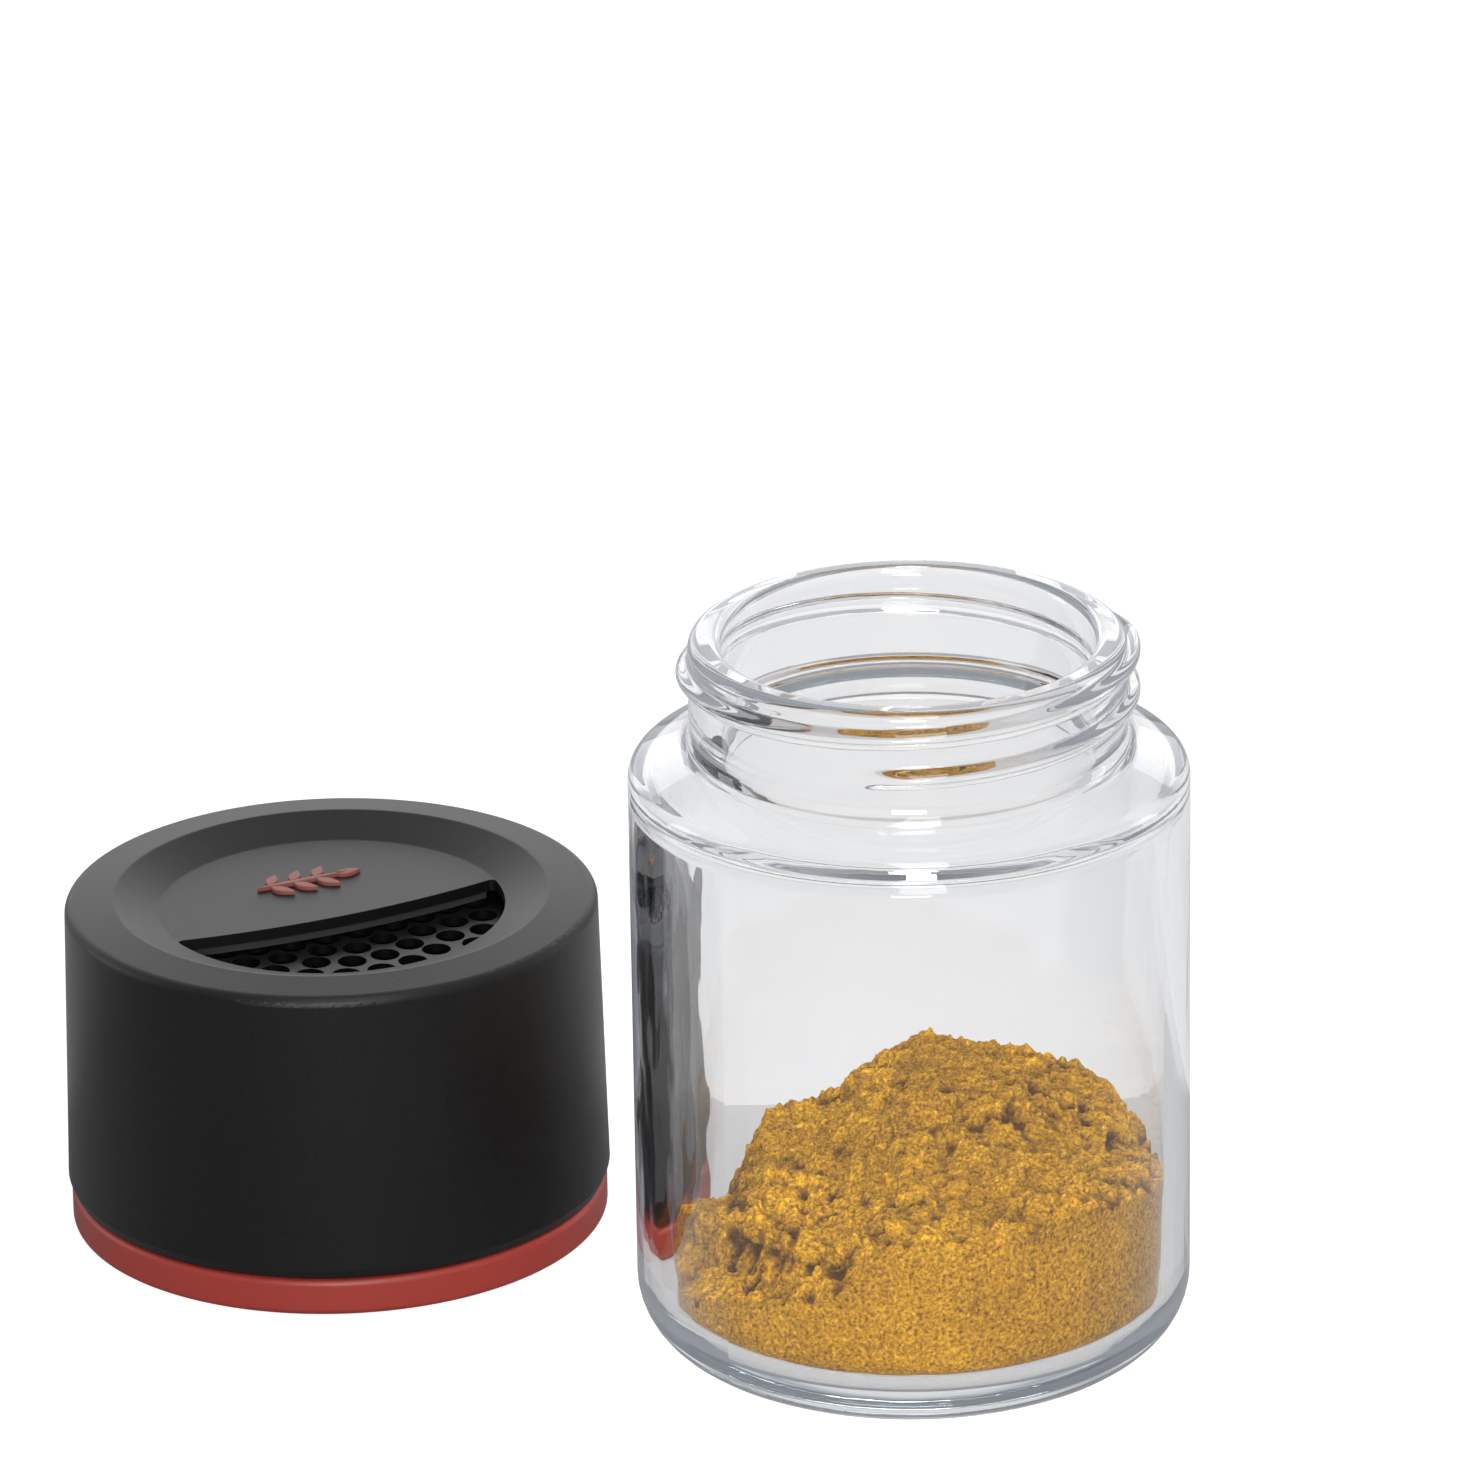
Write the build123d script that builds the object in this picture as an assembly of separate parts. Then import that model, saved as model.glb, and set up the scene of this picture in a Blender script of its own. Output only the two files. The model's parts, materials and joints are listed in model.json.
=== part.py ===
from build123d import *
import math
import os

# A glass spice jar with a little ground spice in it. Its shaker cap is off and stands beside it on the
# table. The cap is two shells: the screw cap, which threads onto the neck, and the turning cap round it,
# whose half-moon window swings over the sieve or over its blank half. The sizes are in millimetres, +Z is
# up, and the origin is the middle of the jar's foot.

# Jar, from the mouth outwards
mouth_r = 21.6
neck_wall = 3.75
shoulder_width = 7.15
jar_wall = 3.0
floor_depth = 5.0
heel_round = 8.0
floor_round = 4.0
wall_height = 71.3
shoulder_rise = 3.2
shoulder_depth = 3.2
shoulder_round = 2.1
bowl_round = 2.5
neck_height = 12.6
neck_root_round = 3.0
bore_round = 1.3
lip_round = 1.3
neck_r = mouth_r + neck_wall
jar_r = neck_r + shoulder_width
bowl_r = jar_r - jar_wall
root_z = wall_height + shoulder_rise
rim_z = root_z + neck_height

# Ground spice: a low mound, banked down to the left. At the back left it ends in a cliff, and at the front
# left in a ledge over a lower terrace.
spice_gap = 0.3
spice_depth = 19.1
mound_rise = 3.4
mound_x = 5.0
mound_y = 7.0
mound_width = 14.0
bank_drop = 6.2
bank_start = 1.0
bank_end = -12.0
right_drop = 2.5
right_start = 20.0
cliff_x = -18.0
cliff_width = 7.0
cliff_drop = 10.0
cliff_y = 3.0
ledge_r = 24.0
ledge_start = 192.0
ledge_angle = 64.0
terrace_height = 13.0
terrace_x = -19.0
terrace_y = -20.0
terrace_slope_x = 0.186
terrace_slope_y = -0.198
surface_step = 8.0
surface_steps = 4

# Cap, where it stands and which way its window looks, in degrees from +X
cap_x = -69.4
cap_y = 35.8
window_turn = -63.3
turn_gap = 0.3
press_gap = 0.05
overrun = 1.0

# Screw cap: the sleeve over the neck, the ledge over the rim and the chamber up to the sieve
thread_height = 1.4
thread_play = 0.4
sleeve_wall = 1.8
sleeve_lift = 1.8
seat_lift = 2.7
gasket_depth = 1.2
gasket_width = 3.6
ledge_depth = 1.8
chamber_wall = 2.0
chamber_height = 19.1
shell_round = 0.5
barb_out = 0.9
barb_height = 1.0
barb_lift = 0.8
groove_drop = 4.6
bead_out = 0.7
bead_height = 1.6
sleeve_bore_r = neck_r + thread_height + thread_play
sleeve_r = sleeve_bore_r + sleeve_wall
ledge_z = rim_z - wall_height - seat_lift + gasket_depth
deck_z = ledge_z + ledge_depth
chamber_r = mouth_r + chamber_wall

# Stop that ends the turn: a lug on the ledge, which meets the ends of a cut in the turning cap's skirt
lug_height = 3.2
lug_angle = 10.0
stop_play = 1.0
half_turn = 180.0

# Sieve: holes in staggered rings under the window, on one half of the plate
sieve_depth = 1.2
hole_d = 3.5
ring_pitch = 3.66
hole_pitch = 4.3
hole_start = 0.9
sieve_r = mouth_r + chamber_wall / 2
sieve_z = deck_z + chamber_height
sieve_top = sieve_z + sieve_depth

# Colour ring round the foot
ring_height = 4.55
ring_width = 2.6
ring_round = 0.8
ring_inset = 0.37

# Turning cap
shell_wall = 1.9
shell_gap = 1.92
shell_draft = 0.8
foot_bevel = 0.5
foot_bevel_height = 1.2
edge_round = 1.2
annulus_rise = 0.62
dish_width = 5.25
dish_depth = 1.93
dish_round = 0.8
roof_depth = 1.9
disc_inset = 0.74
disc_depth = 1.4
skirt_wall = 1.6
closing_edge_r = 104.0
closing_edge_out = 3.5
window_corner = 0.6
foot_r = sleeve_r + shell_gap + shell_wall
disc_r = mouth_r - disc_inset
dish_r = disc_r + dish_width
skirt_r = chamber_r + turn_gap

# Closing seal, under the closed half of the disc
seal_depth = 1.1
seal_inset = 0.9
seal_setback = 0.6
seal_z = sieve_top + turn_gap
disc_z = seal_z + seal_depth
disc_top = disc_z + disc_depth
dish_top = disc_top + dish_depth
edge_top = dish_top - annulus_rise


def turned(*corners):
    """A solid turned about Z from a closed outline of (radius, height, rounding) corners."""
    points = [(r, z) for r, z, rounding in corners]
    outline = FilletPolyline(*points, radius=[rounding for r, z, rounding in corners], close=True)
    return revolve(Plane.XZ * make_face(outline), Axis.Z)


def sector(inner, outer, low, high, start, angle):
    """A piece of a ring between two radii and two heights, from the start angle on."""
    section = make_face(Polyline((inner, low), (outer, low), (outer, high), (inner, high), close=True))
    return Rot(0, 0, start) * revolve(Plane.XZ * section, Axis.Z, angle)


def behind_edge(setback):
    """All that lies behind the bowed closing edge, less a setback, with the window towards +X."""
    return Pos(closing_edge_out - setback - closing_edge_r, 0) * Circle(closing_edge_r)


def on_table(solid):
    """Sets a cap piece down where the cap stands, with its window the right way round."""
    return Pos(cap_x, cap_y, 0) * Rot(0, 0, window_turn) * solid


def glass_jar():
    """The jar: thick floor, rounded heel, sloping shoulder, and a straight neck with a rounded rim."""
    bowl_top = wall_height - shoulder_depth
    return turned(
        (0, 0, 0),
        (jar_r, 0, heel_round),
        (jar_r, wall_height, shoulder_round),
        (neck_r, root_z, neck_root_round),
        (neck_r, rim_z, lip_round),
        (mouth_r, rim_z, lip_round),
        (mouth_r, root_z - shoulder_depth, bore_round),
        (bowl_r, bowl_top, bowl_round),
        (bowl_r, floor_depth, floor_round),
        (0, floor_depth, 0),
    )


def eased(value, start, end):
    """Rises smoothly from 0 at the start to 1 at the end."""
    share = min(1, max(0, (value - start) / (end - start)))
    return share * share * (3 - 2 * share)


def spice_level(x, y):
    """The height of the spice's free surface, without its cliff and ledge."""
    off = math.hypot(x - mound_x, y - mound_y) / mound_width
    top = floor_depth + spice_gap + spice_depth
    bank = bank_drop * eased(x, bank_start, bank_end)
    return top + mound_rise * math.exp(-off * off) - bank - right_drop * eased(x, right_start, bowl_r)


def spice_powder():
    """The spice: a mound, its cliff and its ledge, a little clear of the glass."""
    spice_r = bowl_r - spice_gap
    low = floor_depth + spice_gap
    top = low + spice_depth + mound_rise
    body = turned((0, low, 0), (spice_r, low, floor_round - spice_gap), (spice_r, top, 0), (0, top, 0))
    places = [surface_step * step for step in range(-surface_steps, surface_steps + 1)]
    points = [[Vector(x, y, spice_level(x, y)) for y in places] for x in places]
    surface = Face.make_surface_from_array_of_points(points)
    heap = body - extrude(surface, top, dir=(0, 0, 1))
    cliff_top = low + spice_depth - bank_drop
    cliff = Polyline(
        (cliff_x, cliff_top + overrun),
        (cliff_x - cliff_width, cliff_top - cliff_drop),
        (-jar_r, cliff_top - cliff_drop),
        (-jar_r, top + overrun),
        (cliff_x, top + overrun),
        close=True,
    )
    heap -= Pos(0, cliff_y) * extrude(Plane.XZ * make_face(cliff), amount=-jar_r)
    slope = (-terrace_slope_x, -terrace_slope_y, 1)
    terrace = Plane(origin=(terrace_x, terrace_y, terrace_height), z_dir=slope)
    above = extrude(terrace * Rectangle(2 * jar_r, 2 * jar_r), jar_r)
    return heap - (sector(ledge_r, jar_r, low, rim_z, ledge_start, ledge_angle) & above)


def screw_cap():
    """The inner cap: sleeve with a barb for the ring, ledge, chamber with the snap groove, and stop lug."""
    barb_z = sleeve_lift + barb_lift
    groove_r = chamber_r - bead_out
    groove_top = sieve_z - groove_drop
    groove_low = groove_top - bead_height - 2 * turn_gap
    rebate_r = sieve_r + press_gap
    body = turned(
        (sleeve_bore_r, sleeve_lift, shell_round),
        (sleeve_r, sleeve_lift, shell_round),
        (sleeve_r, barb_z, 0),
        (sleeve_r + barb_out, barb_z, 0),
        (sleeve_r, barb_z + barb_height, 0),
        (sleeve_r, deck_z, shell_round),
        (chamber_r, deck_z, 0),
        (chamber_r, groove_low, 0),
        (groove_r, groove_low, 0),
        (groove_r, groove_top, 0),
        (chamber_r, groove_top, 0),
        (chamber_r, sieve_top - turn_gap, 0),
        (rebate_r, sieve_top - turn_gap, 0),
        (rebate_r, sieve_z, 0),
        (mouth_r, sieve_z, 0),
        (mouth_r, ledge_z, 0),
        (sleeve_bore_r, ledge_z, 0),
    )
    lug = sector(
        chamber_r - chamber_wall / 2,
        skirt_r + skirt_wall,
        deck_z - ledge_depth / 2,
        deck_z + lug_height,
        half_turn - lug_angle / 2,
        lug_angle,
    )
    return on_table(body + lug)


def rim_gasket():
    """The flat gasket under the ledge, which the jar's rim presses on."""
    outer = sleeve_bore_r - press_gap
    inner = outer - gasket_width
    low = ledge_z - gasket_depth
    return on_table(turned((inner, low, 0), (outer, low, 0), (outer, ledge_z, 0), (inner, ledge_z, 0)))


def sieve_plate():
    """The plate on the chamber: rings of holes under the window, and a blank half behind them."""
    plate = Circle(sieve_r)
    rings = int((disc_r - hole_d / 2) / ring_pitch)
    for ring in range(1, rings + 1):
        radius = ring * ring_pitch
        count = round(2 * math.pi * radius / hole_pitch)
        stagger = ring % 2 / 2
        for index in range(count):
            angle = 2 * math.pi * (index + stagger) / count
            x = radius * math.cos(angle)
            y = radius * math.sin(angle)
            if x > hole_start:
                plate -= Pos(x, y) * Circle(hole_d / 2)
    return on_table(Pos(0, 0, sieve_z) * extrude(plate, sieve_depth))


def colour_ring():
    """The ring round the foot: it snaps over the sleeve's barb and is what the cap stands on."""
    ring_r = foot_r - ring_inset
    bore_r = sleeve_r + press_gap
    barb_z = sleeve_lift + barb_lift - press_gap
    barb_top = barb_z + barb_height + 2 * press_gap
    return on_table(
        turned(
            (ring_r - ring_width, 0, 0),
            (ring_r, 0, ring_round),
            (ring_r, ring_height, ring_round),
            (bore_r, ring_height, 0),
            (bore_r, barb_top, 0),
            (bore_r + barb_out, barb_top, 0),
            (bore_r + barb_out, barb_z, 0),
            (bore_r, barb_z, 0),
            (bore_r, sleeve_lift, 0),
            (ring_r - ring_width, sleeve_lift, 0),
        )
    )


def turning_cap():
    """The outer cap: tapered shell, dished top with its window, and a skirt that snaps on the chamber."""
    foot_z = ring_height + turn_gap
    wall_r = foot_r - shell_draft
    skirt_z = deck_z + turn_gap
    bead_top = sieve_z - groove_drop - turn_gap
    bead_r = skirt_r - bead_out
    body = turned(
        (foot_r - shell_wall, foot_z, 0),
        (foot_r - foot_bevel, foot_z, 0),
        (foot_r, foot_z + foot_bevel_height, 0),
        (wall_r, edge_top, edge_round),
        (dish_r, dish_top, dish_round),
        (disc_r, disc_top, dish_round),
        (0, disc_top, 0),
        (0, disc_z, 0),
        (skirt_r, disc_z, 0),
        (skirt_r, bead_top, 0),
        (bead_r, bead_top, 0),
        (bead_r, bead_top - bead_height, 0),
        (skirt_r, bead_top - bead_height, 0),
        (skirt_r, skirt_z, 0),
        (skirt_r + skirt_wall, skirt_z, 0),
        (skirt_r + skirt_wall, dish_top - roof_depth, 0),
        (wall_r - shell_wall, edge_top - roof_depth, shell_round),
    )
    lug_way = sector(
        skirt_r - overrun,
        skirt_r + skirt_wall + overrun,
        skirt_z - overrun,
        deck_z + lug_height + turn_gap,
        -lug_angle / 2 - stop_play,
        half_turn + lug_angle + 2 * stop_play,
    )
    outline = Circle(disc_r) - behind_edge(0)
    outline = fillet(outline.vertices(), window_corner)
    window = Pos(0, 0, disc_z - overrun) * extrude(outline, dish_depth + disc_depth + overrun)
    return on_table(body - lug_way - window)


def closing_seal():
    """The soft pad under the closed half of the disc."""
    outline = Circle(disc_r - seal_inset) & behind_edge(seal_setback)
    return on_table(Pos(0, 0, seal_z) * extrude(outline, seal_depth))


pieces = {
    "glass_jar": glass_jar(),
    "spice_powder": spice_powder(),
    "screw_cap": screw_cap(),
    "rim_gasket": rim_gasket(),
    "sieve_plate": sieve_plate(),
    "colour_ring": colour_ring(),
    "turning_cap": turning_cap(),
    "closing_seal": closing_seal(),
}

os.makedirs("parts", exist_ok=True)
for name, solid in pieces.items():
    solid.label = name
    export_step(solid, f"parts/{name}.step")
    box = solid.bounding_box()
    print(f"{name}: {box.size.X:.1f} x {box.size.Y:.1f} x {box.size.Z:.1f}, {solid.volume:.0f} cubic mm")
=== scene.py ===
import json
import math
import bpy
from mathutils import Matrix, Vector, noise


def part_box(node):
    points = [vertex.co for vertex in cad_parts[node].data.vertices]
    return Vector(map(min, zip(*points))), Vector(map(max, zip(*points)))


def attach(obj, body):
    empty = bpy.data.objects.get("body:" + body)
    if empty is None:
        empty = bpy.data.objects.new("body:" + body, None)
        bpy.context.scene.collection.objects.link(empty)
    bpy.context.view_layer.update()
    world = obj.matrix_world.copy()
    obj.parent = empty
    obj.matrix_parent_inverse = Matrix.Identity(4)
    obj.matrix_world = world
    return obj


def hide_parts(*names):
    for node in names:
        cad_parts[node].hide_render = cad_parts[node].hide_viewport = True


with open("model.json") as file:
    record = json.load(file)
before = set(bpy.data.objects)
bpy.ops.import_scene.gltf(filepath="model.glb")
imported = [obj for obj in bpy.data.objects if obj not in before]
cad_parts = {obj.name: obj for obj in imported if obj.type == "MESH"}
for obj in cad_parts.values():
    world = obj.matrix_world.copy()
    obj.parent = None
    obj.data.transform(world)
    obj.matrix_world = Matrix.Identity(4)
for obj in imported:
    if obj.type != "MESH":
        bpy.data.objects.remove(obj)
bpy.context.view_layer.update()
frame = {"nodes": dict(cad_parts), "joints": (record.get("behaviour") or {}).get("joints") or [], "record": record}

MM = 0.001

# Camera: where the photograph was taken from, and the pixel that shows the jar's middle
FRAME_PX = 1470
FOCAL_PX = 10138
SIGHT_PX = (911, 1011.7)
SIGHT_HEIGHT = 40 * MM
CAMERA_DISTANCE = 1.182
CAMERA_TILT = math.radians(23.14)
CAMERA_ROLL = math.radians(-0.51)
CAMERA_REACH = 20
SENSOR = 36

# Jar: the frame gives its outside, and here are its walls, heights and roundings
JAR_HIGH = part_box("glass_jar")[1]
JAR_R = JAR_HIGH.x
RIM_Z = JAR_HIGH.z
MOUNTS = {mount["name"]: mount for mount in frame["record"]["mounts"]}
MOUTH_R = MOUNTS["neck_mouth"]["dims"]["r_mm"] * MM
JAR_WALL = 3.0 * MM
BOWL_R = JAR_R - JAR_WALL
FLOOR_Z = 5.0 * MM
WALL_Z = 71.3 * MM
NECK_R = 25.35 * MM
ROOT_Z = 74.5 * MM
BORE_LOW_Z = 71.3 * MM
BOWL_TOP_Z = 68.1 * MM
HEEL_ROUND = 8.0 * MM
FLOOR_ROUND = 4.0 * MM
SHOULDER_ROUND = 2.1 * MM
BOWL_ROUND = 2.5 * MM
ROOT_ROUND = 3.0 * MM
BORE_ROUND = 1.3 * MM
LIP_ROUND = 1.3 * MM

# Jar: how finely it is divided, and how near the neck's radius a point counts as on the neck
JAR_SIDES = 256
ARC_STEP = math.radians(9)
NECK_STEP = 0.2 * MM
WALL_STEP = 6 * MM
NECK_MARGIN = 0.1 * MM

# Thread on the neck: a right-hand rounded bead
THREAD_START = math.radians(-107)
THREAD_TURNS = 1.37
THREAD_LOW_Z = 79.1 * MM
THREAD_PITCH = 4.9 * MM
THREAD_HEIGHT = 1.4 * MM
THREAD_WIDTH = 2.6 * MM
THREAD_FADE = math.radians(18)
THREAD_CURVE = 1.2

# Motif on the cap's disc
HINGE = next(joint for joint in frame["joints"] if joint["name"] == "cap_turn")
CAP_X, CAP_Y = HINGE["pos_m"][:2]
DISC_Z = 39.2 * MM
MOTIF_OFF = (-3.6 * MM, 7.4 * MM)
MOTIF_TURN = math.radians(26.7)
MOTIF_RISE = 0.5 * MM
MOTIF_BEVEL = 0.12 * MM
MOTIF_BEVEL_SHARE = 0.6
MOTIF_SUNK = 0.2 * MM
STEM_LENGTH = 12.4 * MM
STEM_WIDTH = 0.75 * MM
LEAF_LENGTH = 3.3 * MM
LEAF_WIDTH = 1.5 * MM
LEAF_LEAN = math.radians(52)
LEAF_FOOT = 0.35 * MM
LEAF_PAIRS = (-4.6 * MM, -1.6 * MM, 1.4 * MM)
LEAF_CURVE = 0.85
LEAF_POINTS = 14
TIP_LEAF_SHARE = 0.8

# Thread in the cap's sleeve
BORE_R = 27.15 * MM
BORE_THREAD_LOW = 4.3 * MM
BORE_THREAD_HEIGHT = 1.25 * MM
BORE_THREAD_WIDTH = 2.6 * MM
BORE_THREAD_SUNK = 0.1 * MM
BORE_THREAD_CURVE = 0.8
BORE_THREAD_FADE_SHARE = 0.07
BORE_THREAD_STEPS = 200
BORE_THREAD_POINTS = 8

# Spice: its outside, how finely it is divided, and the dents in its side
SPICE_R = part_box("spice_powder")[1].x
SPICE_CELLS = 300
SPICE_ROWS = 40
SPICE_SEED = 7
SPICE_GAP = 0.3 * MM
SPICE_RIM_OUT = 0.6 * MM
SPICE_RIM_IN = 3 * MM
SPICE_CLEAR = 2 * MM
DENT_GRAIN = 300
DENT_DEPTH = 0.3 * MM

# Spice: the heap's form, in millimetres, and in degrees round the jar from its left side to its front
SPICE_LEVEL = 24.4
MOUND_RISE = 3.4
MOUND_PLACE = (5, 7)
MOUND_WIDTH = 14
LEFT_FALL = 6.2
LEFT_FALL_SPAN = (-1, 12)
END_FALL = 1.0
END_FALL_SPAN = (18, 26)
RIGHT_FALL = 2.5
RIGHT_FALL_SPAN = (20, 29)
CLIFF_FALL = 10.0
CLIFF_SPAN = (17, 25)
CLIFF_BACK_SPAN = (-3, 4)
LEDGE_EDGE = 24.0
LEDGE_START_SPAN = (3, 12)
LEDGE_END_SPAN = (74, 82)
LEDGE_LEFT_OUT = 4.5
LEDGE_LEFT_SPAN = (8, 30)
LEDGE_FRONT_OUT = 3.5
LEDGE_FRONT_SPAN = (52, 76)
LEDGE_LIP = 1.5
LEDGE_LIP_INSET = 3
LEDGE_LIP_WIDTH = 3.5
LEDGE_FACE_IN = 0.3
LEDGE_FACE_OUT = 0.9
TERRACE_LOW = 10.5
TERRACE_RISE = 6.4
TERRACE_START = 24
TERRACE_SPAN = 50
TALUS_RISE = 2.2
TALUS_WIDTH = 5

# Spice: the grains of its lumps, crumbs and pits in features per metre, and their heights in millimetres.
# A fractal has its roughness, its step between octaves and their number.
LUMP_GRAIN = 95
LUMP_PLACE = Vector((3, 1, 7))
LUMP_SPAN = (-0.25, 0.3)
LUMP_LOW = 0.4
LUMP_RISE = 0.6
CELL_SHARPNESS = 1.15
CLUMP_GRAIN = 290
CLUMP_HEIGHT = 1.6
CLUMP_MIDDLE = 0.45
CRUMB_GRAIN = 720
CRUMB_HEIGHT = 1.0
CRUMB_MIDDLE = 0.4
PIT_GRAIN = 560
PIT_PLACE = Vector((9, 4, 2))
PIT_SPAN = (0.18, 0.45)
PIT_DEPTH = 1.1
SWELL_GRAIN = 150
SWELL_HEIGHT = 0.9
SWELL_FRACTAL = (1.0, 2.1, 3)
DUST_GRAIN = 1250
DUST_HEIGHT = 0.45
DUST_FRACTAL = (0.8, 2.0, 2)
SHIFT_GRAIN = 420
SHIFT = 0.5
LEAN_STEP = 0.5

# Spice: its tones, with painted shade in the pits and painted light on the crumbs, its painted shade on the high
# places and the steep left slopes, and the colours of its fine grains
BASE_TONE = 0.56
WALL_TONE = 0.51
CRUMB_SHADE_SPAN = 2.6
PAINTED_SHADE_SHARE = 0.1
PAINTED_SHADE_HIGH_SPAN = (23, 27)
PAINTED_SHADE_LEFT_SPAN = (6, 14)
GRAIN_SCALE = 2200
GRAIN_DEPTH = 0.36 * MM
PATCH_SCALE = 130
GRAIN_STOPS = (
    (0.33, (0.09, 0.032, 0.003)),
    (0.42, (0.29, 0.132, 0.005)),
    (0.50, (0.45, 0.225, 0.008)),
    (0.58, (0.60, 0.32, 0.012)),
    (0.70, (0.88, 0.56, 0.07)),
)
PATCH_STOPS = (
    (0.35, (0.84, 0.80, 0.74)),
    (0.65, (1.06, 1.04, 1.0)),
)
# Painted shade in the pits and painted light on the crumb tops: each tone's factor on the colour
CRUMB_SHADE_STOPS = (
    (0.20, (0.22, 0.16, 0.10)),
    (0.42, (0.74, 0.72, 0.69)),
    (0.55, (1.0, 1.0, 0.97)),
    (0.85, (1.45, 1.48, 1.2)),
)

# Glass: its faint waves, the slope with streaks in its left side that shows the cap as a dark band, its
# tint, and the painted glow, an even grey, that stands in for light after many reflections
WAVE_GRAIN = (170, 170, 38)
STREAK_GRAIN = (110, 110, 45)
STREAK_SHARE = 4.5
BAND_START = 0.66
BAND_FULL = 0.8
BAND_SLOPE = 65
BAND_SKIN = 1.5 * MM
BAND_TOP_GAP = 3 * MM
WAVE_STRENGTH = 0.5
WAVE_DEPTH = 0.09 * MM
GLASS_TINT = (0.22, 0.30, 0.34)
GLASS_SOAK = 6
DEEP_BOUNCES = 3.5
DEEP_PAINTED_GLOW = (0.34, 0.36, 0.39)

# Studio: the tones of the room from its front (0) to its back (1)
BACK_TONE = (0.97, 0.965, 0.975)
SIDE_TONE = (0.50, 0.53, 0.56)
CEILING_TONE = (1.1, 1.1, 1.12)
FRONT_TONE = (0.16, 0.17, 0.19)
ROOM_STOPS = (
    (0.1, FRONT_TONE),
    (0.5, SIDE_TONE),
    (0.66, SIDE_TONE),
    (0.74, CEILING_TONE),
    (0.80, CEILING_TONE),
    (0.87, SIDE_TONE),
    (0.90, SIDE_TONE),
    (0.95, BACK_TONE),
)
ROOM_SHARE = 0.5

# Floor: its glow to the camera, and what glass and shiny pieces see of it before and beyond the table's back
FLOOR_SIZE = 3
FLOOR_DROP = 0.2 * MM
FLOOR_TONE = (0.42, 0.42, 0.43)
FLOOR_CAMERA_GLOW = 0.86
TABLE_BACK = 0.067
BACKDROP_GLOW = 0.53
TABLE_GLOW = 0.3
MIRROR_SHARE = 0.6

# Lamps: name, place, target, size, power, and whether glass shows them
WINDOW_POWER = 3
KEY_POWER = 7
BACK_POWER = 2.4
SIDE_POWER = 1.5
LAMPS = (
    ("window_soft", (0.06, -0.42, 0.91), (0, 0, 0.04), (0.24, 0.8), WINDOW_POWER, True),
    ("key_soft", (0.0, -0.98, 0.45), (0, 0, 0.03), (0.3, 0.3), KEY_POWER, True),
    ("back_soft", (-0.1, 1.05, 0.4), (0, 0, 0.03), (1.4, 0.5), BACK_POWER, False),
    ("right_strip", (1.15, 0.42, 0.3), (-0.03, 0, 0.03), (0.25, 0.7), SIDE_POWER, False),
    ("left_strip", (-1.15, 0.3, 0.3), (-0.03, 0, 0.03), (0.25, 0.7), SIDE_POWER, False),
)


def smooth(share):
    """Rises smoothly from 0 to 1 as its share does."""
    return share * share * (3 - 2 * share)


def ease(value, low, high):
    """Rises smoothly from 0 at low to 1 at high."""
    return smooth(min(1, max(0, (value - low) / (high - low))))


def rounded(corners):
    """The points of an outline of (radius, height, rounding) corners, with each rounding as an arc."""
    points = []
    for index, (r, z, rounding) in enumerate(corners):
        here = Vector((r, z))
        if not rounding or index in (0, len(corners) - 1):
            points.append(here)
            continue
        before = (Vector(corners[index - 1][:2]) - here).normalized()
        after = (Vector(corners[index + 1][:2]) - here).normalized()
        half = before.angle(after) / 2
        centre = here + (before + after).normalized() * rounding / math.sin(half)
        start = here + before * rounding / math.tan(half) - centre
        turn = start.angle_signed(here + after * rounding / math.tan(half) - centre)
        steps = max(2, math.ceil(abs(turn) / ARC_STEP))
        for part in range(steps + 1):
            points.append(centre + Matrix.Rotation(-turn * part / steps, 2) @ start)
    return points


def divided(before, after, longest):
    """The points after the first of a straight stretch, no further apart than the longest step."""
    count = max(1, math.ceil((after - before).length / longest))
    return [before.lerp(after, part / count) for part in range(1, count + 1)]


def new_mesh(name, vertices, faces, smooth_faces=True):
    """An object with a mesh of its own, in the scene."""
    mesh = bpy.data.meshes.new(name)
    mesh.from_pydata([tuple(vertex) for vertex in vertices], [], faces)
    mesh.validate()
    mesh.polygons.foreach_set("use_smooth", [smooth_faces] * len(mesh.polygons))
    piece = bpy.data.objects.new(name, mesh)
    bpy.context.scene.collection.objects.link(piece)
    return piece


def lathe(name, outline, sides, radius):
    """A closed mesh turned about Z from an outline whose first and last points lie on the axis."""
    vertices = [Vector((0, 0, outline[0].y)), Vector((0, 0, outline[-1].y))]
    rows = outline[1:-1]
    for point in rows:
        for side in range(sides):
            angle = 2 * math.pi * side / sides
            r = radius(angle, point)
            vertices.append(Vector((r * math.cos(angle), r * math.sin(angle), point.y)))
    faces = []
    for side in range(sides):
        after = (side + 1) % sides
        faces.append((0, 2 + after, 2 + side))
        for row in range(len(rows) - 1):
            low = 2 + row * sides
            faces.append((low + side, low + after, low + sides + after, low + sides + side))
        last = 2 + (len(rows) - 1) * sides
        faces.append((1, last + side, last + after))
    return new_mesh(name, vertices, faces)


def thread_bump(angle, z):
    """How far the thread's bead stands out of the neck at an angle and height."""
    best = 0
    length = 2 * math.pi * THREAD_TURNS
    for turn in range(math.ceil(THREAD_TURNS)):
        along = (angle - THREAD_START) % (2 * math.pi) + 2 * math.pi * turn
        if along > length:
            break
        middle = THREAD_LOW_Z + THREAD_PITCH * along / (2 * math.pi)
        share = abs(z - middle) / (THREAD_WIDTH / 2)
        fade = smooth(min(1, along / THREAD_FADE, (length - along) / THREAD_FADE))
        if share < 1:
            best = max(best, THREAD_HEIGHT * fade * (1 - share * share) ** THREAD_CURVE)
    return best


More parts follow.
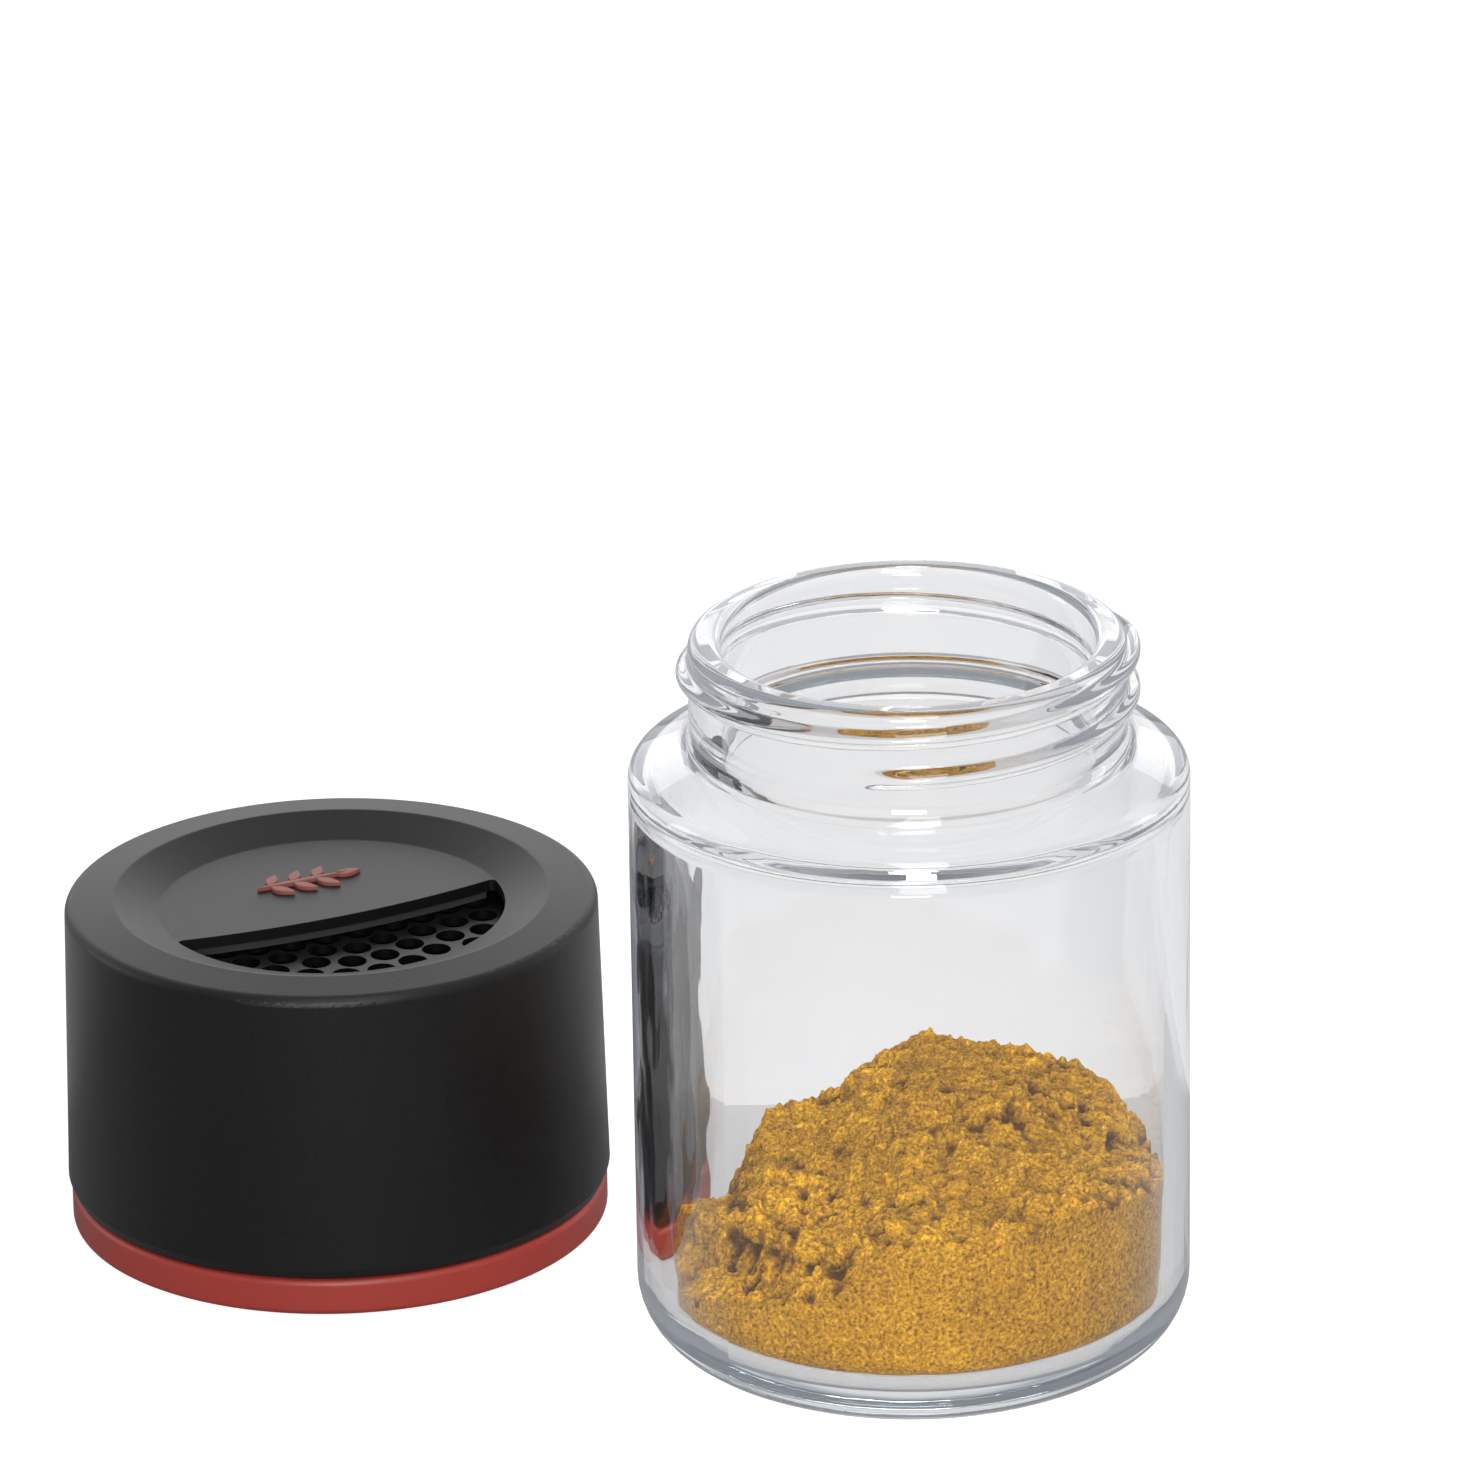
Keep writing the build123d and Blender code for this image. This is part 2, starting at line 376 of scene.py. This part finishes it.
def neck_radius(angle, point):
    """The radius of an outline's point at an angle, with the thread where the point is on the neck."""
    on_neck = point.x > NECK_R - NECK_MARGIN and point.y > ROOT_Z
    return point.x + (thread_bump(angle, point.y) if on_neck else 0)


def make_jar():
    """The glass as one closed mesh: foot, wall, neck with its thread, mouth, bowl and floor."""
    corners = [
        (0, 0, 0),
        (JAR_R, 0, HEEL_ROUND),
        (JAR_R, WALL_Z, SHOULDER_ROUND),
        (NECK_R, ROOT_Z, ROOT_ROUND),
        (NECK_R, RIM_Z, LIP_ROUND),
        (MOUTH_R, RIM_Z, LIP_ROUND),
        (MOUTH_R, BORE_LOW_Z, BORE_ROUND),
        (BOWL_R, BOWL_TOP_Z, BOWL_ROUND),
        (BOWL_R, FLOOR_Z, FLOOR_ROUND),
        (0, FLOOR_Z, 0),
    ]
    points = rounded(corners)
    outline = [points[0]]
    for before, after in zip(points, points[1:]):
        on_neck = min(before.x, after.x) > NECK_R - NECK_MARGIN and min(before.y, after.y) > ROOT_Z
        threaded = on_neck and after.y > before.y
        outline += divided(before, after, NECK_STEP if threaded else WALL_STEP)
    jar = lathe("jar_glass", outline, JAR_SIDES, neck_radius)
    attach(jar, "jar")
    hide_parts("glass_jar")
    return jar


def spice_level(x, y):
    """The heap's height before its crumbs: high at the right, a ledge at the front left, a cliff behind."""
    radius = math.hypot(x, y)
    off = math.hypot(x - MOUND_PLACE[0], y - MOUND_PLACE[1])
    level = SPICE_LEVEL + MOUND_RISE * math.exp(-((off / MOUND_WIDTH) ** 2))
    level -= LEFT_FALL * ease(-x, *LEFT_FALL_SPAN)
    level -= CLIFF_FALL * ease(-x, *CLIFF_SPAN) * ease(y, *CLIFF_BACK_SPAN)
    level -= RIGHT_FALL * ease(x, *RIGHT_FALL_SPAN)
    level -= END_FALL * ease(-x, *END_FALL_SPAN)
    round_front = math.degrees(math.atan2(-y, -x))
    window = ease(round_front, *LEDGE_START_SPAN) * (1 - ease(round_front, *LEDGE_END_SPAN))
    edge = LEDGE_EDGE + LEDGE_LEFT_OUT * (1 - ease(round_front, *LEDGE_LEFT_SPAN))
    edge += LEDGE_FRONT_OUT * ease(round_front, *LEDGE_FRONT_SPAN)
    lip = (radius - edge + LEDGE_LIP_INSET) / LEDGE_LIP_WIDTH
    level += LEDGE_LIP * window * math.exp(-(lip ** 2))
    terrace = TERRACE_LOW + TERRACE_RISE * min(1, max(0, (round_front - TERRACE_START) / TERRACE_SPAN))
    terrace += TALUS_RISE * (1 - ease(radius, edge, edge + TALUS_WIDTH))
    past = window * ease(radius, edge - LEDGE_FACE_IN, edge + LEDGE_FACE_OUT)
    return level + (terrace - level) * past


def near_cell(place, grain):
    """How near a place is to the middle of its cell: 1 in the middle and 0 far from it."""
    return 1 - min(1, noise.voronoi(place * grain)[0][0] * CELL_SHARPNESS)


def spice_point(x, y):
    """A point of the free surface at a place in metres, with clumps, crumbs and pits, and its tone: painted shade
    in the pits, on the high places and on the steep left slopes, and painted light on the crumbs.
    """
    base = spice_level(x / MM, y / MM) * MM
    lean_x = spice_level(x / MM + LEAN_STEP, y / MM) - base / MM
    lean_y = spice_level(x / MM, y / MM + LEAN_STEP) - base / MM
    inner = 1 - ease(math.hypot(x, y), SPICE_R - SPICE_RIM_IN, SPICE_R - SPICE_RIM_OUT)
    out = Vector((-lean_x * inner / LEAN_STEP, -lean_y * inner / LEAN_STEP, 1)).normalized()
    place = Vector((x, y, base))
    lumpy = LUMP_LOW + LUMP_RISE * ease(noise.noise(place * LUMP_GRAIN + LUMP_PLACE), *LUMP_SPAN)
    clump = CLUMP_HEIGHT * (near_cell(place, CLUMP_GRAIN) - CLUMP_MIDDLE)
    crumb = CRUMB_HEIGHT * (near_cell(place, CRUMB_GRAIN) - CRUMB_MIDDLE)
    swell = noise.fractal(place * SWELL_GRAIN, *SWELL_FRACTAL)
    dust = noise.fractal(place * DUST_GRAIN, *DUST_FRACTAL)
    pit = PIT_DEPTH * ease(noise.noise(place * PIT_GRAIN + PIT_PLACE), *PIT_SPAN)
    crumbs = lumpy * (clump + crumb - pit) + DUST_HEIGHT * dust
    point = place + out * (SWELL_HEIGHT * swell + crumbs) * MM
    point += noise.noise_vector(point * SHIFT_GRAIN) * SHIFT * MM * lumpy * inner
    point.z = max(point.z, FLOOR_Z + SPICE_CLEAR)
    reach = math.hypot(point.x, point.y)
    if reach > SPICE_R:
        point.x *= SPICE_R / reach
        point.y *= SPICE_R / reach
    # Painted shade: darker on the high places and on the steep slopes at the left
    painted_shade = ease(base / MM, *PAINTED_SHADE_HIGH_SPAN)
    painted_shade += ease(-x / MM, *PAINTED_SHADE_LEFT_SPAN) * min(1, abs(lean_x) + abs(lean_y))
    # The tone also holds painted shade in the pits and painted light on the crumbs
    return point, min(1, max(0, BASE_TONE + crumbs / CRUMB_SHADE_SPAN - PAINTED_SHADE_SHARE * painted_shade))


def spice_surface():
    """The free surface, a square grid drawn out to a disc: its points, their tones of painted shade and light, and
    its faces.
    """
    vertices = []
    tones = []
    for row in range(SPICE_CELLS + 1):
        for column in range(SPICE_CELLS + 1):
            u = 2 * column / SPICE_CELLS - 1
            v = 2 * row / SPICE_CELLS - 1
            r = SPICE_R * max(abs(u), abs(v))
            length = math.hypot(u, v)
            x = r * u / length if length else 0
            y = r * v / length if length else 0
            point, tone = spice_point(x, y)
            vertices.append(point)
            tones.append(tone)
    stride = SPICE_CELLS + 1
    faces = []
    for row in range(SPICE_CELLS):
        for column in range(SPICE_CELLS):
            corner = row * stride + column
            faces.append((corner, corner + 1, corner + stride + 1, corner + stride))
    return vertices, tones, faces


def spice_rim():
    """The numbers of the free surface's outer points, in order round the heap."""
    cells = SPICE_CELLS
    stride = cells + 1
    rim = list(range(cells))
    rim += [row * stride + cells for row in range(cells)]
    rim += [cells * stride + cells - column for column in range(cells)]
    rim += [(cells - row) * stride for row in range(cells)]
    return rim


def add_spice_wall(vertices, faces):
    """The heap's side, pressed on the glass, and its underside."""
    rim = spice_rim()
    count = len(rim)
    low = FLOOR_Z + SPICE_GAP
    before = rim
    for row in range(1, SPICE_ROWS + 1):
        share = row / SPICE_ROWS
        now = []
        for index in rim:
            top = vertices[index]
            z = low + (top.z - low) * (1 - share)
            angle = math.atan2(top.y, top.x)
            rise = min(1, (z - low) / FLOOR_ROUND)
            r = SPICE_R - FLOOR_ROUND * (1 - math.sqrt(1 - (1 - rise) ** 2))
            dent = noise.noise(Vector((r * math.cos(angle), r * math.sin(angle), z)) * DENT_GRAIN)
            r -= DENT_DEPTH * max(0, dent)
            now.append(len(vertices))
            vertices.append(Vector((r * math.cos(angle), r * math.sin(angle), z)))
        for index in range(count):
            after = (index + 1) % count
            faces.append((before[index], now[index], now[after], before[after]))
        before = now
    middle = len(vertices)
    vertices.append(Vector((0, 0, low)))
    for index in range(count):
        faces.append((before[index], middle, before[(index + 1) % count]))


def make_spice():
    """The heap as one closed mesh, with a tone of painted shade and light at each point for its material."""
    noise.seed_set(SPICE_SEED)
    vertices, tones, faces = spice_surface()
    add_spice_wall(vertices, faces)
    tones += [WALL_TONE] * (len(vertices) - len(tones))
    spice = new_mesh("spice_heap", vertices, faces)
    painted_shades = spice.data.color_attributes.new("crumbs", "FLOAT_COLOR", "POINT")
    for index, tone in enumerate(tones):
        painted_shades.data[index].color = (tone, tone, tone, 1)
    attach(spice, "jar")
    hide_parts("spice_powder")
    return spice


def leaf_outline(length, width):
    """A pointed leaf from (0, 0) to (length, 0)."""
    upper = []
    for index in range(LEAF_POINTS + 1):
        share = index / LEAF_POINTS
        upper.append(Vector((length * share, width / 2 * math.sin(math.pi * share ** LEAF_CURVE))))
    lower = [Vector((point.x, -point.y)) for point in reversed(upper[1:-1])]
    return upper + lower


def add_raised(vertices, faces, outline, place, turn):
    """One raised shape of the motif, with a bevelled edge, in the motif's own plane."""
    count = len(outline)
    middle = sum(outline, Vector((0, 0))) / count
    first = len(vertices)
    spin = Matrix.Rotation(turn, 2)
    levels = ((0, -MOTIF_SUNK), (0, MOTIF_RISE - MOTIF_BEVEL), (MOTIF_BEVEL, MOTIF_RISE))
    for inset, height in levels:
        for point in outline:
            away = middle - point
            inward = away.normalized() * min(inset, away.length * MOTIF_BEVEL_SHARE)
            flat = spin @ (point + inward) + Vector(place)
            vertices.append(Vector((flat.x, flat.y, height)))
    for level in range(len(levels) - 1):
        for index in range(count):
            after = (index + 1) % count
            low = first + level * count
            faces.append((low + index, low + count + index, low + count + after, low + after))
    top = first + (len(levels) - 1) * count
    faces.append([first + index for index in range(count)])
    faces.append([top + index for index in reversed(range(count))])


def make_motif():
    """A generic sprig of leaves, raised on the cap's disc."""
    vertices = []
    faces = []
    leaf = leaf_outline(LEAF_LENGTH, LEAF_WIDTH)
    add_raised(vertices, faces, leaf_outline(STEM_LENGTH, STEM_WIDTH), (-STEM_LENGTH / 2, 0), 0)
    add_raised(vertices, faces, leaf, (LEAF_PAIRS[-1] + LEAF_LENGTH * TIP_LEAF_SHARE, 0), 0)
    for place in LEAF_PAIRS:
        for side in (1, -1):
            add_raised(vertices, faces, leaf, (place, LEAF_FOOT * side), LEAF_LEAN * side)
    turn = Matrix.Rotation(MOTIF_TURN, 4, "Z")
    place = Vector((CAP_X + MOTIF_OFF[0], CAP_Y + MOTIF_OFF[1], DISC_Z))
    vertices = [turn @ vertex + place for vertex in vertices]
    motif = new_mesh("disc_motif", vertices, faces, smooth_faces=False)
    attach(motif, "outer_cap")
    return motif


def make_bore_thread():
    """The thread inside the cap's sleeve, as a rounded bead on a helix."""
    steps = BORE_THREAD_STEPS
    points = BORE_THREAD_POINTS
    stride = points + 1
    vertices = []
    faces = []
    for step in range(steps + 1):
        share = step / steps
        angle = 2 * math.pi * THREAD_TURNS * share
        fade = ease(share, 0, BORE_THREAD_FADE_SHARE) * ease(1 - share, 0, BORE_THREAD_FADE_SHARE)
        middle = BORE_THREAD_LOW + THREAD_PITCH * THREAD_TURNS * share
        for index in range(stride):
            across = 2 * index / points - 1
            height = BORE_THREAD_HEIGHT * fade * (1 - across * across) ** BORE_THREAD_CURVE
            r = BORE_R - (height - BORE_THREAD_SUNK)
            z = middle + across * BORE_THREAD_WIDTH / 2
            vertices.append(Vector((CAP_X + r * math.cos(angle), CAP_Y + r * math.sin(angle), z)))
    for step in range(steps):
        first = step * stride
        last = first + points
        for corner in range(first, last):
            faces.append((corner, corner + stride, corner + stride + 1, corner + 1))
        faces.append((first, last, last + stride, first + stride))
    end = steps * stride
    faces.append(list(range(stride)))
    faces.append([end + index for index in reversed(range(stride))])
    thread = new_mesh("sleeve_thread", vertices, faces)
    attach(thread, "inner_cap")
    return thread


def new_material(name, colour, roughness, **sockets):
    """A Principled material, its tree and its shader."""
    material = bpy.data.materials.new(name)
    material.use_nodes = True
    shader = material.node_tree.nodes["Principled BSDF"]
    shader.inputs["Base Color"].default_value = (*colour, 1)
    shader.inputs["Roughness"].default_value = roughness
    for socket, value in sockets.items():
        shader.inputs[socket.replace("_", " ")].default_value = value
    return material, material.node_tree, shader


def add_axes(tree, source="Object"):
    """The X, Y and Z of a place in the coordinates named by the source."""
    place = tree.nodes.new("ShaderNodeTexCoord").outputs[source]
    parts = tree.nodes.new("ShaderNodeSeparateXYZ")
    tree.links.new(place, parts.inputs["Vector"])
    return parts.outputs["X"], parts.outputs["Y"], parts.outputs["Z"]


def add_noise(tree, scale, detail, roughness=0.6, stretch=None):
    """A noise texture in object coordinates, its scale in features per metre."""
    place = tree.nodes.new("ShaderNodeTexCoord").outputs["Object"]
    if stretch:
        mapping = tree.nodes.new("ShaderNodeMapping")
        mapping.inputs["Scale"].default_value = stretch
        tree.links.new(place, mapping.inputs["Vector"])
        place = mapping.outputs["Vector"]
    node = tree.nodes.new("ShaderNodeTexNoise")
    node.inputs["Scale"].default_value = scale
    node.inputs["Detail"].default_value = detail
    node.inputs["Roughness"].default_value = roughness
    tree.links.new(place, node.inputs["Vector"])
    return node.outputs["Fac"]


def add_ramp(tree, factor, stops):
    """A colour ramp over (place, colour) stops."""
    node = tree.nodes.new("ShaderNodeValToRGB")
    elements = node.color_ramp.elements
    while len(elements) < len(stops):
        elements.new(0.5)
    for element, (place, colour) in zip(elements, stops):
        element.position = place
        element.color = (*colour, 1)
    tree.links.new(factor, node.inputs["Fac"])
    return node.outputs["Color"]


def add_math(tree, operation, *values):
    """A math node over sockets and plain numbers."""
    node = tree.nodes.new("ShaderNodeMath")
    node.operation = operation
    for index, value in enumerate(values):
        if isinstance(value, (int, float)):
            node.inputs[index].default_value = value
        else:
            tree.links.new(value, node.inputs[index])
    return node.outputs["Value"]


def add_bump(tree, shader, height, strength, distance):
    """Bends a shader's normal by a height."""
    node = tree.nodes.new("ShaderNodeBump")
    node.inputs["Strength"].default_value = strength
    node.inputs["Distance"].default_value = distance
    tree.links.new(height, node.inputs["Height"])
    tree.links.new(node.outputs["Normal"], shader.inputs["Normal"])


def add_tint(tree, colour, tint):
    """A colour times a tint. The mix node's colours go in at 6 and 7, and its colour comes out at 2."""
    node = tree.nodes.new("ShaderNodeMix")
    node.data_type = "RGBA"
    node.blend_type = "MULTIPLY"
    node.inputs["Factor"].default_value = 1
    tree.links.new(colour, node.inputs[6])
    tree.links.new(tint, node.inputs[7])
    return node.outputs[2]


def add_choice(tree, factor, first, second):
    """The first shader where the factor is 0, and the second where it is 1."""
    node = tree.nodes.new("ShaderNodeMixShader")
    tree.links.new(factor, node.inputs["Fac"])
    tree.links.new(first, node.inputs[1])
    tree.links.new(second, node.inputs[2])
    return node.outputs["Shader"]


def glass_height(tree):
    """The height behind the glass's bump: waves all over, and a slope with streaks in the left wall."""
    x, y, z = add_axes(tree)
    waves = add_noise(tree, 1, detail=2, roughness=0.5, stretch=WAVE_GRAIN)
    streaks = add_noise(tree, 1, detail=2, roughness=0.5, stretch=STREAK_GRAIN)
    across = add_math(tree, "ADD", add_math(tree, "MULTIPLY", x, x), add_math(tree, "MULTIPLY", y, y))
    outside = add_math(tree, "GREATER_THAN", across, (JAR_R - BAND_SKIN) ** 2)
    low = add_math(tree, "LESS_THAN", z, WALL_Z - BAND_TOP_GAP)
    leftward = add_math(tree, "MULTIPLY", x, -1 / JAR_R)
    band = add_math(tree, "MULTIPLY", add_math(tree, "SUBTRACT", leftward, BAND_START), BAND_SLOPE)
    band = add_math(tree, "MAXIMUM", band, 0.0)
    rough = add_ramp(tree, leftward, [(BAND_START, (0, 0, 0)), (BAND_FULL, (1, 1, 1))])
    streaks = add_math(tree, "MULTIPLY", add_math(tree, "MULTIPLY", streaks, STREAK_SHARE), rough)
    extra = add_math(tree, "MULTIPLY", add_math(tree, "ADD", band, streaks), outside)
    extra = add_math(tree, "MULTIPLY", extra, low)
    return add_math(tree, "ADD", waves, extra)


def glass_material():
    """Clear glass, a little blue where it is thick. Lamp light passes through it to the spice. After many
    reflections it shows a painted glow of even grey.
    """
    material, tree, shader = new_material("clear_glass", (1, 1, 1), 0, IOR=1.5, Transmission_Weight=1)
    add_bump(tree, shader, glass_height(tree), WAVE_STRENGTH, WAVE_DEPTH)
    path = tree.nodes.new("ShaderNodeLightPath").outputs
    clear = tree.nodes.new("ShaderNodeBsdfTransparent")
    glass = add_choice(tree, path["Is Shadow Ray"], shader.outputs["BSDF"], clear.outputs["BSDF"])
    # Painted glow: past a few glossy bounces the glass glows an even grey in place of further reflections
    glow = tree.nodes.new("ShaderNodeEmission")
    glow.inputs["Color"].default_value = (*DEEP_PAINTED_GLOW, 1)
    deep = add_math(tree, "GREATER_THAN", path["Glossy Depth"], DEEP_BOUNCES)
    surface = add_choice(tree, deep, glass, glow.outputs["Emission"])
    soak = tree.nodes.new("ShaderNodeVolumeAbsorption")
    soak.inputs["Color"].default_value = (*GLASS_TINT, 1)
    soak.inputs["Density"].default_value = GLASS_SOAK
    output = tree.nodes["Material Output"]
    tree.links.new(surface, output.inputs["Surface"])
    tree.links.new(soak.outputs["Volume"], output.inputs["Volume"])
    return material


def moulded(name, colour, roughness, specular, grain, detail, strength, depth):
    """A plain moulded material, its grain in features per metre with a bump of a strength and a depth."""
    material, tree, shader = new_material(name, colour, roughness, Specular_IOR_Level=specular)
    add_bump(tree, shader, add_noise(tree, grain, detail), strength, depth)
    return material


def plastic_material():
    """Black moulded plastic with a fine spark-eroded grain."""
    colour = (0.0045, 0.0043, 0.005)
    return moulded("black_plastic", colour, roughness=0.42, specular=0.33,
                   grain=5200, detail=3, strength=0.5, depth=0.06 * MM)


def sieve_material():
    """The same black plastic, glossier and darker where it is pierced."""
    colour = (0.0025, 0.0025, 0.003)
    return moulded("sieve_plastic", colour, roughness=0.38, specular=0.3,
                   grain=4000, detail=3, strength=0.3, depth=0.04 * MM)


def motif_material():
    """The motif's dull terracotta."""
    colour = (0.27, 0.08, 0.06)
    return moulded("motif_print", colour, roughness=0.5, specular=0.5,
                   grain=3000, detail=2, strength=0.1, depth=0.03 * MM)


def ring_material():
    """The ring's smooth terracotta plastic."""
    colour = (0.37, 0.04, 0.028)
    return moulded("terracotta_ring", colour, roughness=0.45, specular=0.5,
                   grain=3000, detail=2, strength=0.1, depth=0.03 * MM)


def rubber_material():
    """The dull rubber of the gasket and the seal."""
    colour = (0.03, 0.03, 0.03)
    return moulded("seal_rubber", colour, roughness=0.7, specular=0.5,
                   grain=2500, detail=2, strength=0.2, depth=0.03 * MM)


def spice_material():
    """Ground spice: yellow-brown grains with darker and paler specks, with painted shade in the pits, on the high
    places and on the steep left slopes, and painted light on the crumbs.
    """
    colour = (0.56, 0.30, 0.045)
    material, tree, shader = new_material("ground_spice", colour, 0.95, Specular_IOR_Level=0.15)
    grains = add_noise(tree, GRAIN_SCALE, detail=4, roughness=0.75)
    patches = add_ramp(tree, add_noise(tree, PATCH_SCALE, detail=3), PATCH_STOPS)
    # Painted shade and painted light from the mesh's tones, multiplied into the colour
    crumbs = tree.nodes.new("ShaderNodeVertexColor")
    crumbs.layer_name = "crumbs"
    painted_shades = add_ramp(tree, crumbs.outputs["Color"], CRUMB_SHADE_STOPS)
    patchy = add_tint(tree, add_ramp(tree, grains, GRAIN_STOPS), patches)
    tree.links.new(add_tint(tree, patchy, painted_shades), shader.inputs["Base Color"])
    add_bump(tree, shader, grains, 1.0, GRAIN_DEPTH)
    return material


def make_camera():
    """The photograph's viewpoint, turned so that the jar's middle falls on its own pixel without shift."""
    forward = Vector((0, math.cos(CAMERA_TILT), -math.sin(CAMERA_TILT)))
    up = Vector((0, math.sin(CAMERA_TILT), math.cos(CAMERA_TILT)))
    right = Vector((1, 0, 0))
    image_right = right * math.cos(CAMERA_ROLL) + up * math.sin(CAMERA_ROLL)
    image_up = up * math.cos(CAMERA_ROLL) - right * math.sin(CAMERA_ROLL)
    half = FRAME_PX / 2
    look = forward * FOCAL_PX + image_right * (half - SIGHT_PX[0]) + image_up * (SIGHT_PX[1] - half)
    look.normalize()
    side = look.cross(image_up).normalized()
    top = side.cross(look)
    data = bpy.data.cameras.new("camera")
    data.sensor_width = SENSOR
    data.lens = SENSOR * FOCAL_PX / FRAME_PX
    data.clip_end = CAMERA_REACH
    camera = bpy.data.objects.new("camera", data)
    place = Vector((0, 0, SIGHT_HEIGHT)) - forward * CAMERA_DISTANCE
    camera.matrix_world = Matrix.Translation(place) @ Matrix((side, top, -look)).transposed().to_4x4()
    bpy.context.scene.collection.objects.link(camera)
    bpy.context.scene.camera = camera


def add_lamp(name, place, target, size, energy, through_glass):
    """A soft rectangular lamp that looks at its target."""
    data = bpy.data.lights.new(name, "AREA")
    data.shape = "RECTANGLE"
    data.size, data.size_y = size
    data.energy = energy
    lamp = bpy.data.objects.new(name, data)
    lamp.location = place
    lamp.rotation_euler = (Vector(target) - Vector(place)).to_track_quat("-Z", "Y").to_euler()
    lamp.visible_transmission = through_glass
    bpy.context.scene.collection.objects.link(lamp)


def floor_glow(tree):
    """How strongly the floor glows: to the camera, and in glass and shiny pieces as backdrop and as table."""
    path = tree.nodes.new("ShaderNodeLightPath").outputs
    depth = add_axes(tree)[1]
    beyond = add_math(tree, "GREATER_THAN", depth, TABLE_BACK)
    seen = add_math(tree, "MULTIPLY", path["Is Camera Ray"], FLOOR_CAMERA_GLOW)
    glossy = add_math(tree, "MULTIPLY", path["Is Glossy Ray"], MIRROR_SHARE)
    bounced = add_math(tree, "MAXIMUM", glossy, path["Is Transmission Ray"])
    behind = add_math(tree, "MULTIPLY", add_math(tree, "MULTIPLY", bounced, beyond), BACKDROP_GLOW)
    table = add_math(tree, "SUBTRACT", path["Is Transmission Ray"], beyond)
    table = add_math(tree, "MULTIPLY", add_math(tree, "MAXIMUM", table, 0.0), TABLE_GLOW)
    return add_math(tree, "ADD", seen, add_math(tree, "ADD", behind, table))


def make_floor():
    """A pale sweep, white to the camera and seen so in glass, that keeps the soft shadow."""
    corners = [(-1, -1), (1, -1), (1, 1), (-1, 1)]
    vertices = [(FLOOR_SIZE * x, FLOOR_SIZE * y, -FLOOR_DROP) for x, y in corners]
    floor = new_mesh("floor", vertices, [(0, 1, 2, 3)], smooth_faces=False)
    material, tree, shader = new_material("pale_floor", FLOOR_TONE, 0.95, Specular_IOR_Level=0)
    shader.inputs["Emission Color"].default_value = (1, 1, 1, 1)
    tree.links.new(floor_glow(tree), shader.inputs["Emission Strength"])
    floor.data.materials.append(material)


def make_world():
    """A pale backdrop behind, greyer sides and a darker room in front. The camera itself sees white."""
    world = bpy.data.worlds.new("studio")
    world.use_nodes = True
    tree = world.node_tree
    room = tree.nodes["Background"]
    depth = add_math(tree, "MULTIPLY_ADD", add_axes(tree, "Generated")[1], 0.5, 0.5)
    tree.links.new(add_ramp(tree, depth, ROOM_STOPS), room.inputs["Color"])
    path = tree.nodes.new("ShaderNodeLightPath").outputs
    seen = add_math(tree, "MAXIMUM", path["Is Glossy Ray"], path["Is Transmission Ray"])
    strength = add_math(tree, "MULTIPLY_ADD", seen, 1 - ROOM_SHARE, ROOM_SHARE)
    tree.links.new(strength, room.inputs["Strength"])
    white = tree.nodes.new("ShaderNodeBackground")
    white.inputs["Color"].default_value = (1, 1, 1, 1)
    sky = add_choice(tree, path["Is Camera Ray"], room.outputs["Background"], white.outputs["Background"])
    tree.links.new(sky, tree.nodes["World Output"].inputs["Surface"])
    bpy.context.scene.world = world


def dress(name, material):
    """Gives a CAD node its material."""
    node = frame["nodes"][name]
    node.data.materials.clear()
    node.data.materials.append(material)


bpy.context.scene.view_settings.view_transform = "Standard"
make_camera()
make_world()
make_floor()
for lamp in LAMPS:
    add_lamp(*lamp)

plastic = plastic_material()
rubber = rubber_material()
make_jar().data.materials.append(glass_material())
make_spice().data.materials.append(spice_material())
make_bore_thread().data.materials.append(plastic)
make_motif().data.materials.append(motif_material())
for name in ("turning_cap", "screw_cap"):
    dress(name, plastic)
for name in ("rim_gasket", "closing_seal"):
    dress(name, rubber)
dress("sieve_plate", sieve_material())
dress("colour_ring", ring_material())
